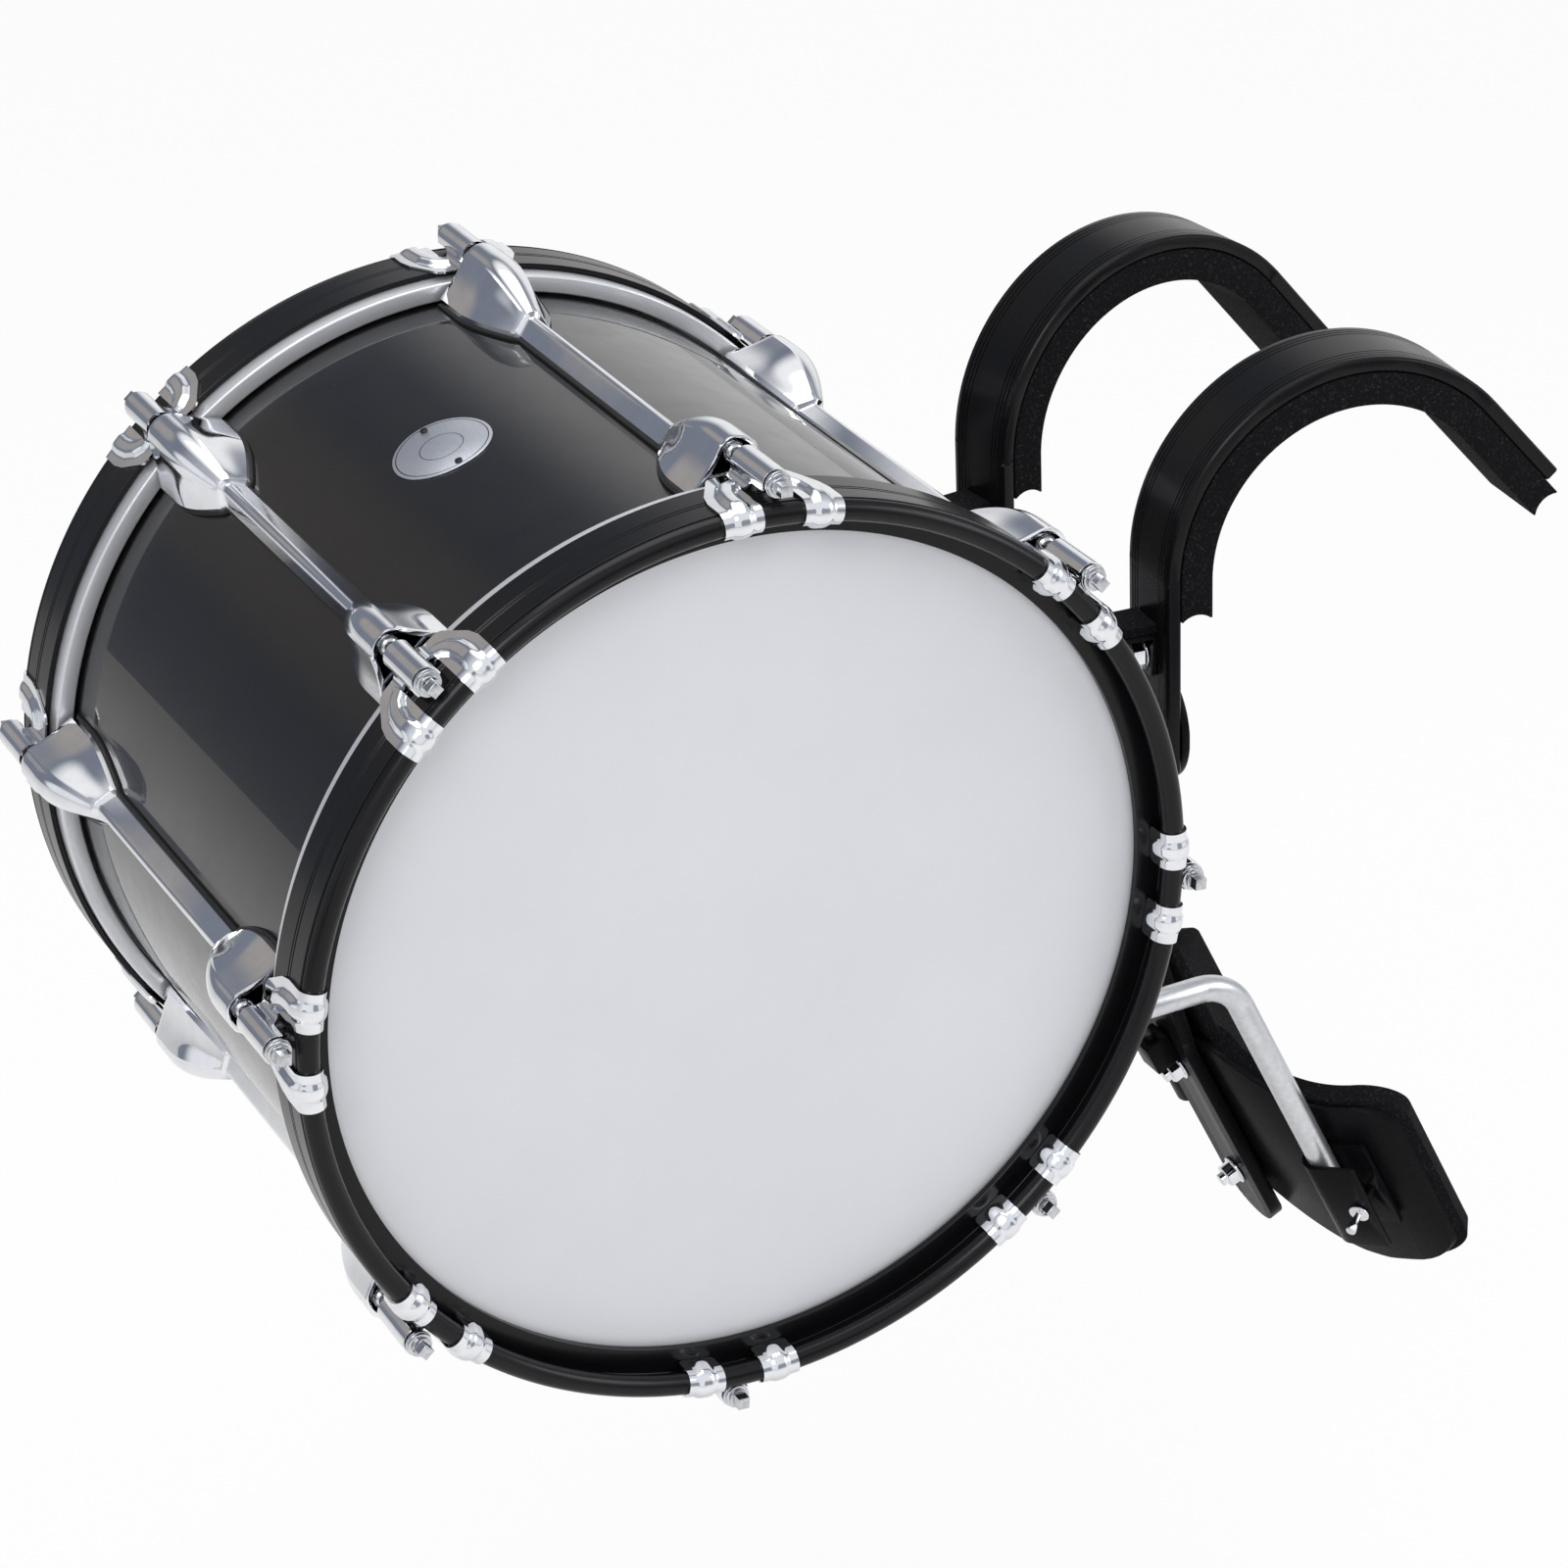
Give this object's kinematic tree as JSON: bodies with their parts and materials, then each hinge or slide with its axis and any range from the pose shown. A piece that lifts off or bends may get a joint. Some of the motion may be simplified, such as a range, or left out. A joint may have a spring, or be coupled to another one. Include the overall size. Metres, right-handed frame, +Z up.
{
  "type": "marching bass drum with shoulder carrier",
  "caption": "Marching bass drum with tensioned heads at both ends, hooked on a carrier with shoulder bars, spine and belly plate.",
  "frame": {"origin": "middle of the chest plate's face on the wearer's side", "axes": "+X to the wearer, +Z up, +Y along the drum's axis to the wearer's right"},
  "size_m": [0.776, 0.4116, 0.6505],
  "materials": {
    "shell_wrap": "high-gloss black wrap on a wooden shell",
    "film": "smooth white film",
    "bare_aluminium": "satin, a little scuffed",
    "hoop_coat": "satin black coat",
    "lug_plate": "polished plating",
    "gasket": "matt",
    "bright_steel": "polished",
    "chrome_steel": "polished chrome",
    "badge_plate": "brushed",
    "dark_steel": "dark satin",
    "black_coat": "black powder coat",
    "bar_anodise": "black anodised extrusion",
    "foam": "closed-cell foam, speckled black",
    "knob": "matt black",
    "tube": "satin"
  },
  "bodies": {
    "yoke": {"shoulder_bar_left": "bar_anodise", "shoulder_bar_right": "bar_anodise", "shoulder_pad_left": "foam", "shoulder_pad_right": "foam", "chest_plate": "black_coat", "angle_brackets": "black_coat", "bracket_pads": "foam", "chest_bolts": "bright_steel"},
    "spine": {"spine": "bar_anodise", "spine_bolts": "bright_steel", "clamp_block": "black_coat"},
    "knob": {"clamp_knob": "knob"},
    "belly": {"belly_plate": "black_coat", "belly_pad": "foam", "sockets": "black_coat"},
    "socket_screw_left": {"socket_screw_left": "bright_steel"},
    "socket_screw_right": {"socket_screw_right": "bright_steel"},
    "j_bar_left": {"j_bar_left": "tube"},
    "j_bar_right": {"j_bar_right": "tube"},
    "drum": {"shell": "shell_wrap", "head_front": "film", "head_back": "film", "flesh_hoop_front": "bare_aluminium", "flesh_hoop_back": "bare_aluminium", "hoop_front": "hoop_coat", "hoop_back": "hoop_coat", "lug_1": "lug_plate", "lug_2": "lug_plate", "lug_3": "lug_plate", "lug_4": "lug_plate", "lug_5": "lug_plate", "lug_6": "lug_plate", "lug_7": "lug_plate", "lug_8": "lug_plate", "lug_gaskets": "gasket", "lug_screws": "bright_steel", "swivel_nuts": "bright_steel", "claws_front": "chrome_steel", "claws_back": "chrome_steel", "rod_washers": "bright_steel", "badge": "badge_plate", "badge_pins": "dark_steel", "hook_receivers": "black_coat", "receiver_screws": "bright_steel"},
    "tension_rod_front_1": {"tension_rod_front_1": "bright_steel"},
    "tension_rod_front_2": {"tension_rod_front_2": "bright_steel"},
    "tension_rod_front_3": {"tension_rod_front_3": "bright_steel"},
    "tension_rod_front_4": {"tension_rod_front_4": "bright_steel"},
    "tension_rod_front_5": {"tension_rod_front_5": "bright_steel"},
    "tension_rod_front_6": {"tension_rod_front_6": "bright_steel"},
    "tension_rod_front_7": {"tension_rod_front_7": "bright_steel"},
    "tension_rod_front_8": {"tension_rod_front_8": "bright_steel"},
    "tension_rod_back_1": {"tension_rod_back_1": "bright_steel"},
    "tension_rod_back_2": {"tension_rod_back_2": "bright_steel"},
    "tension_rod_back_3": {"tension_rod_back_3": "bright_steel"},
    "tension_rod_back_4": {"tension_rod_back_4": "bright_steel"},
    "tension_rod_back_5": {"tension_rod_back_5": "bright_steel"},
    "tension_rod_back_6": {"tension_rod_back_6": "bright_steel"},
    "tension_rod_back_7": {"tension_rod_back_7": "bright_steel"},
    "tension_rod_back_8": {"tension_rod_back_8": "bright_steel"}
  },
  "joints": [
    {"name": "spine_height", "type": "slide", "parent": "yoke", "child": "spine", "axis": [0, 0, 1], "range_m": [-0.008, 0.008]},
    {"name": "knob_turn", "type": "hinge", "parent": "spine", "child": "knob", "pos_m": [0.03942, 0, -0.25378], "axis": [-0.4226, 0, 0.9063], "continuous": true},
    {"name": "belly_height", "type": "slide", "parent": "spine", "child": "belly", "axis": [0.4226, 0, -0.9063], "range_m": [0, 0.014]},
    {"name": "socket_screw_left_turn", "type": "hinge", "parent": "belly", "child": "socket_screw_left", "pos_m": [0.12004, -0.10635, -0.33094], "axis": [-0.765, -0.5361, -0.3567], "continuous": true},
    {"name": "socket_screw_right_turn", "type": "hinge", "parent": "belly", "child": "socket_screw_right", "pos_m": [0.12004, 0.10635, -0.33094], "axis": [-0.765, 0.5361, -0.3567], "continuous": true},
    {"name": "j_bar_left_slide", "type": "slide", "parent": "belly", "child": "j_bar_left", "axis": [-0.4226, 0, 0.9063], "range_m": [0, 0.03]},
    {"name": "j_bar_right_slide", "type": "slide", "parent": "belly", "child": "j_bar_right", "axis": [-0.4226, 0, 0.9063], "range_m": [0, 0.03]},
    {"name": "drum_lift", "type": "slide", "parent": "j_bar_left", "child": "drum", "axis": [0, 0, 1], "range_m": [0, 0.06]},
    {"name": "rod_front_1_turn", "type": "hinge", "parent": "drum", "child": "tension_rod_front_1", "pos_m": [-0.05107, -0.19, -0.03268], "axis": [0, -1, 0], "continuous": true},
    {"name": "rod_front_2_turn", "type": "hinge", "parent": "drum", "child": "tension_rod_front_2", "pos_m": [-0.10788, -0.19, 0.15083], "axis": [0, -1, 0], "continuous": true},
    {"name": "rod_front_3_turn", "type": "hinge", "parent": "drum", "child": "tension_rod_front_3", "pos_m": [-0.27781, -0.19, 0.24043], "axis": [0, -1, 0], "continuous": true},
    {"name": "rod_front_4_turn", "type": "hinge", "parent": "drum", "child": "tension_rod_front_4", "pos_m": [-0.46133, -0.19, 0.18362], "axis": [0, -1, 0], "continuous": true},
    {"name": "rod_front_5_turn", "type": "hinge", "parent": "drum", "child": "tension_rod_front_5", "pos_m": [-0.55093, -0.19, 0.01368], "axis": [0, -1, 0], "continuous": true},
    {"name": "rod_front_6_turn", "type": "hinge", "parent": "drum", "child": "tension_rod_front_6", "pos_m": [-0.49412, -0.19, -0.16983], "axis": [0, -1, 0], "continuous": true},
    {"name": "rod_front_7_turn", "type": "hinge", "parent": "drum", "child": "tension_rod_front_7", "pos_m": [-0.32419, -0.19, -0.25943], "axis": [0, -1, 0], "continuous": true},
    {"name": "rod_front_8_turn", "type": "hinge", "parent": "drum", "child": "tension_rod_front_8", "pos_m": [-0.14067, -0.19, -0.20262], "axis": [0, -1, 0], "continuous": true},
    {"name": "rod_back_1_turn", "type": "hinge", "parent": "drum", "child": "tension_rod_back_1", "pos_m": [-0.05107, 0.19, -0.03268], "axis": [0, 1, 0], "continuous": true},
    {"name": "rod_back_2_turn", "type": "hinge", "parent": "drum", "child": "tension_rod_back_2", "pos_m": [-0.10788, 0.19, 0.15083], "axis": [0, 1, 0], "continuous": true},
    {"name": "rod_back_3_turn", "type": "hinge", "parent": "drum", "child": "tension_rod_back_3", "pos_m": [-0.27781, 0.19, 0.24043], "axis": [0, 1, 0], "continuous": true},
    {"name": "rod_back_4_turn", "type": "hinge", "parent": "drum", "child": "tension_rod_back_4", "pos_m": [-0.46133, 0.19, 0.18362], "axis": [0, 1, 0], "continuous": true},
    {"name": "rod_back_5_turn", "type": "hinge", "parent": "drum", "child": "tension_rod_back_5", "pos_m": [-0.55093, 0.19, 0.01368], "axis": [0, 1, 0], "continuous": true},
    {"name": "rod_back_6_turn", "type": "hinge", "parent": "drum", "child": "tension_rod_back_6", "pos_m": [-0.49412, 0.19, -0.16983], "axis": [0, 1, 0], "continuous": true},
    {"name": "rod_back_7_turn", "type": "hinge", "parent": "drum", "child": "tension_rod_back_7", "pos_m": [-0.32419, 0.19, -0.25943], "axis": [0, 1, 0], "continuous": true},
    {"name": "rod_back_8_turn", "type": "hinge", "parent": "drum", "child": "tension_rod_back_8", "pos_m": [-0.14067, 0.19, -0.20262], "axis": [0, 1, 0], "continuous": true}
  ],
  "couplings": [
    {"joint": "j_bar_right_slide", "follows": "j_bar_left_slide", "ratio": 1}
  ]
}
